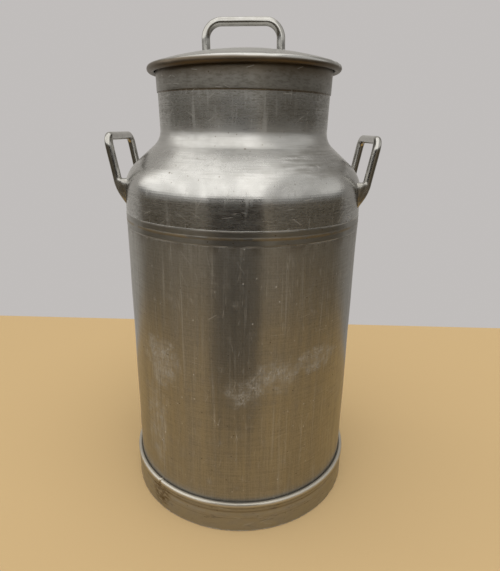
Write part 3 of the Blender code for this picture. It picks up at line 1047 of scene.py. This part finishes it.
def cover_outline():
    centre = (LID_R - CURL, CURL_Z)
    shares = [0, 0.08, 0.16, 0.24, 0.32, 0.4, 0.48, 0.56, 0.64, 0.72, 0.8, 0.87, 0.93, 0.97]
    top = [Vector((EDGE_R * share, dome(EDGE_R * share))) for share in shares]
    under = [Vector((EDGE_R * share, dome(EDGE_R * share, LID_T))) for share in reversed(shares)]
    curl = arc(centre, CURL, TANGENT, -150, 30)
    return top + curl + arc(centre, CURL - LID_T, -150, TANGENT, 24) + under


LID_KNOCKS = [(63, 662, 7, 0.7, 0.6), (71, 658, 6, 0.9, 0.3), (-40, 661, 8, 0.5, 0.5)]
LID_KNOCKS += [(15, 662, 9, 0.3, 0.4), (-100, 660, 8, 0.8, 0.5), (150, 661, 9, 0.8, 0.6)]


def cover_push(angle, across, up):
    at = Vector((across * math.cos(angle), across * math.sin(angle), 0)) / 42
    out, rise = dents(LID_KNOCKS)(angle, across, up)
    inside = clamp((EDGE_R - across) / 15)
    return (out - 0.15 * max(0.0, noise.noise(at * 3)), rise - 0.35 * inside * max(0.0, noise.noise(at)))


def skirt_outline():
    outer, inner = SKIRT_R, SKIRT_R - SKIRT_T
    corners = [(outer, dome(outer, LID_T) - GAP, 0), (outer, 636.0, 60)]
    corners += [(outer - 0.7, SKIRT_FOOT + 5, 10), (outer - 1.6, SKIRT_FOOT, 1.2)]
    corners += [(outer - 4.4, SKIRT_FOOT, 0.9), (inner - 0.9, SKIRT_FOOT + 6, 8)]
    corners += [(inner, 636.0, 60), (inner, dome(inner, LID_T) - GAP, 0)]
    return divided(rounded(corners))


def skirt_push(angle, across, up):
    out, _ = waves(40, 0.3, 12)(angle, across, up)
    return (min(out, 0.0), 0.0)


def seated(piece):
    """Tip a piece of the lid, so that it sits flat on the leaning end of the neck."""
    pivot = Matrix.Translation((0, 0, CURL_Z * MM))
    piece.data.transform(pivot @ Matrix.Rotation(-ASKEW, 4, "Y") @ pivot.inverted())
    return piece


dome_sheet = turned("lid_dome", cover_outline(), SPUN_LID, cover_push, FINE_SIDES)
placed(seated(dome_sheet), "lid", "lid_cover")
placed(seated(turned("lid_collar", skirt_outline(), ROLLED, skirt_push)), "lid", "lid_skirt")

# %% [markdown]
# ## Bending rod
# Each handle is a round rod bent to a U. A curve with a round bevel would do, but the ends have to
# meet a curved surface, so the rod is swept as a mesh: rings of points follow the centre line, and
# each ring is square to it.

# %% Sweep a rod along a path
ROD = 6.0
ROD_SIDES = 28


def bail(half, low, high, bend, steps=16):
    """Centre line of a U in its own plane, from one foot over the bar to the other."""
    left = [Vector((-half, low + (high - bend - low) * k / 6)) for k in range(6)]
    left += arc((-half + bend, high - bend), bend, 180, 90, steps)
    bar = [Vector((-x, z)) for x, z in reversed(left)]
    middle = [Vector((left[-1].x * (1 - 2 * k / 6), high)) for k in range(1, 6)]
    return left + middle + bar


def sweep(name, path, place, metal, size=ROD, uneven=0.0):
    """place turns (along the U, up the U, off its plane) into a point in space."""
    points, faces = [], []
    last = len(path) - 1
    for k, here in enumerate(path):
        way = (path[min(k + 1, last)] - path[max(k - 1, 0)]).normalized()
        side = Vector((way.y, -way.x))
        for j in range(ROD_SIDES):
            angle = math.tau * j / ROD_SIDES
            at = Vector((here.x, here.y, 40 * math.cos(angle))) / 14
            thick = size + uneven * (noise.noise(at) - 0.3)
            flat = here + side * thick * math.cos(angle)
            points.append(place(flat.x, flat.y, thick * math.sin(angle)))
    for k in range(last):
        for j in range(ROD_SIDES):
            after = (j + 1) % ROD_SIDES
            low, high = k * ROD_SIDES, (k + 1) * ROD_SIDES
            faces.append((low + j, low + after, high + after, high + j))
    faces.append(tuple(range(ROD_SIDES)))
    faces.append(tuple(range(last * ROD_SIDES, (last + 1) * ROD_SIDES)))
    return skin(name, points, faces, metal)


print("a bail has", len(bail(50, 0, 60, 15)), "rings")

# %% [markdown]
# ## The lid's handle
# The handle stands on the dome and each leg is welded round with a rough fillet. The right one is
# the rougher. Lumps are made by pushing a smooth fillet in and out with noise, so it stays one
# closed skin.

# %% Handle of the lid and its welds
LID_LEG = 52.8
LID_BAR_Z = 718.7
LID_BEND = 22.0
LID_SHIFT = -1.2       # the handle was welded a little off the middle
SINK = 0.8             # how far a rod goes into the metal that it is welded to
WELD_REACH = 4.3
WELD_RISE = 4.4


def lid_handle():
    path = bail(LID_LEG, dome(LID_LEG) - SINK, LID_BAR_Z, LID_BEND)
    rod = sweep("lid_bail", path, lambda x, z, off: (x + LID_SHIFT, off, z), ROD_METAL, ROD, 0.25)
    placed(seated(rod), "lid", "lid_handle")


def fillet(name, side, rough, seed, node):
    """Weld metal round one leg. side is -1 on the left, rough is how lumpy it came out."""
    around, up_steps = 72, 14
    points, faces = [], []
    for k in range(around):
        angle = math.tau * k / around
        for j in range(up_steps + 1):
            share = j / up_steps
            reach = WELD_REACH * (1 - math.sin(share * math.pi / 2)) ** 1.2
            height = WELD_RISE * share ** 1.4
            at = Vector((math.cos(angle), math.sin(angle), share)) * 1.9 + Vector((seed, seed, 0))
            lump = 1 + rough * (noise.noise(at * 1.7) * 1.2 + noise.noise(at * 4.5) * 0.7)
            far = ROD - 0.25 + reach * lump
            x = side * LID_LEG + LID_SHIFT + far * math.cos(angle)
            y = far * math.sin(angle)
            points.append((x, y, dome(math.hypot(x, y)) - 0.25 + height * lump))
        x = side * LID_LEG + LID_SHIFT + (ROD - 1.0) * math.cos(angle)
        y = (ROD - 1.0) * math.sin(angle)
        points.append((x, y, dome(math.hypot(x, y)) - 0.25))
    ring = up_steps + 2
    for k in range(around):
        low, high = k * ring, (k + 1) % around * ring
        for j in range(ring):
            after = (j + 1) % ring
            faces.append((low + j, low + after, high + after, high + j))
    placed(seated(skin(name, points, faces, WELD)), "lid", node)


lid_handle()
fillet("lid_weld_left", -1, 0.35, 3, "lid_handle_weld_left")
fillet("lid_weld_right", 1, 0.75, 8, "lid_handle_weld_right")

# %% [markdown]
# ## The side handles
# Each side handle is one forging. A rod leans outward over the shoulder, and each of its legs
# spreads into a foot that is let down over the knuckle and welded there. The rod and the two feet
# are put together by a voxel remesh, which melts them into one skin. It is smoothed, and then the
# shoulder's own curve is cut away from it, so it sits on the can with no gap.

# %% Forge the side handles
SIDE_LEG = 57.8
SIDE_BAR_X = 187.3
SIDE_BAR_Z = 565.0
SIDE_BEND = 13.0
LEAN = math.radians(10)
FOOT_TOP = 508.5
VOXEL = 0.0009
BITE = 0.25            # how far a foot goes into the shoulder
FOOT_RISE = 0.06       # how steeply the top of a foot rises towards the can
FOOT_OUT = 185.0       # where that rise starts
FOOT_IN = 152.0        # how far in a foot reaches before the shoulder is cut from it
ROD_IN_FOOT = 6.0
SOFTENING = 10         # rounds of smoothing, which melt the joints
# A foot's face: height, how far out it stands, half its width, and half its width at the can.
FOOT = [
    (507.0, 183.1, 5.4, 6.0),
    (505.0, 182.8, 5.9, 7.4),
    (502.0, 182.3, 6.0, 8.2),
    (499.0, 181.5, 6.0, 8.5),
    (493.0, 179.6, 6.0, 8.2),
    (487.0, 176.9, 5.8, 7.8),
    (481.0, 173.4, 5.4, 7.0),
    (475.0, 169.6, 4.6, 6.0),
    (470.0, 166.2, 3.6, 4.8),
]


def side_rod(side, metal):
    length = (SIDE_BAR_Z - FOOT_TOP) / math.cos(LEAN)

    def place(x, z, off):
        out = SIDE_BAR_X + (z - length) * math.sin(LEAN) + off * math.cos(LEAN)
        return (side * out, x, SIDE_BAR_Z + (z - length) * math.cos(LEAN) - off * math.sin(LEAN))

    path = bail(SIDE_LEG, -ROD_IN_FOOT, length, SIDE_BEND)
    return sweep("rod", path, place, metal, ROD - 0.05, 0.2)


def foot_block(side, end, metal):
    """The tongue of one foot before the shoulder is cut from it."""
    points, faces = [], []
    for height, out, half, base in FOOT:
        middle = out - half
        section = [(FOOT_IN, -base), (middle - 7.0, -base), (middle - 3.0, -half * 1.06)]
        for k in range(9):
            angle = math.radians(-90 + 180 * k / 8)
            section.append((middle + half * math.cos(angle), half * math.sin(angle)))
        section += [(middle - 3.0, half * 1.06), (middle - 7.0, base), (FOOT_IN, base)]
        for x, y in section:
            points.append((side * x, end * SIDE_LEG + y, height + (FOOT_OUT - x) * FOOT_RISE))
    size = len(points) // len(FOOT)
    for k in range(len(FOOT) - 1):
        for j in range(size):
            after = (j + 1) % size
            low, high = k * size, (k + 1) * size
            faces.append((low + j, low + after, high + after, high + j))
    faces.append(tuple(range(size)))
    faces.append(tuple(range(len(points) - size, len(points))))
    return skin("foot", points, faces, metal)


def baked(obj):
    """Turn an object's modifiers into plain mesh."""
    graph = bpy.context.evaluated_depsgraph_get()
    graph.update()
    mesh = bpy.data.meshes.new_from_object(obj.evaluated_get(graph))
    obj.modifiers.clear()
    obj.data = mesh
    return obj


def shoulder_cutter():
    """A solid with the shoulder's own curve, a little smaller, so that the feet bite."""
    outline = [Vector((0, 440.0)), Vector((BODY_R - BITE, 440.0))]
    outline += shoulder_curve(-BITE, 20)[:-6]
    outline.append(Vector((0, outline[-1].y)))
    return turned("cutter", outline, SPUN, sides=FINE_SIDES)


def side_handle(where, side):
    parts = [side_rod(side, ROD_METAL)]
    parts += [foot_block(side, end, ROD_METAL) for end in (-1, 1)]
    whole = bmesh.new()
    for part in parts:
        whole.from_mesh(part.data)
        bpy.data.objects.remove(part)
    mesh = bpy.data.meshes.new("forging")
    whole.to_mesh(mesh)
    whole.free()
    mesh.materials.append(ROD_METAL)
    forging = link(bpy.data.objects.new("side_handle_" + where, mesh))
    melt = forging.modifiers.new("melt", "REMESH")
    melt.mode = "VOXEL"
    melt.voxel_size = VOXEL
    soften = forging.modifiers.new("soften", "SMOOTH")
    soften.factor = 0.5
    soften.iterations = SOFTENING
    baked(forging)
    cutter = shoulder_cutter()
    fit = forging.modifiers.new("fit", "BOOLEAN")
    fit.operation = "DIFFERENCE"
    fit.solver = "EXACT"
    fit.object = cutter
    baked(forging)
    bpy.data.objects.remove(cutter)
    for polygon in forging.data.polygons:
        polygon.use_smooth = True
    nodes = ["handle_" + where] + [f"handle_{where}_{end}_foot" for end in ("front", "rear")]
    placed(forging, "can", *nodes)


side_handle("left", -1)
side_handle("right", 1)

# %% [markdown]
# ## The size
# The finished can must fill the box of the model it came from, and hardly grow past it. Both boxes
# are worked out below.

# %% Work out the sizes
for label, box in (("cad", CAD_BOX), ("visual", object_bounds())):
    [list(map(float, corner)) for corner in box]
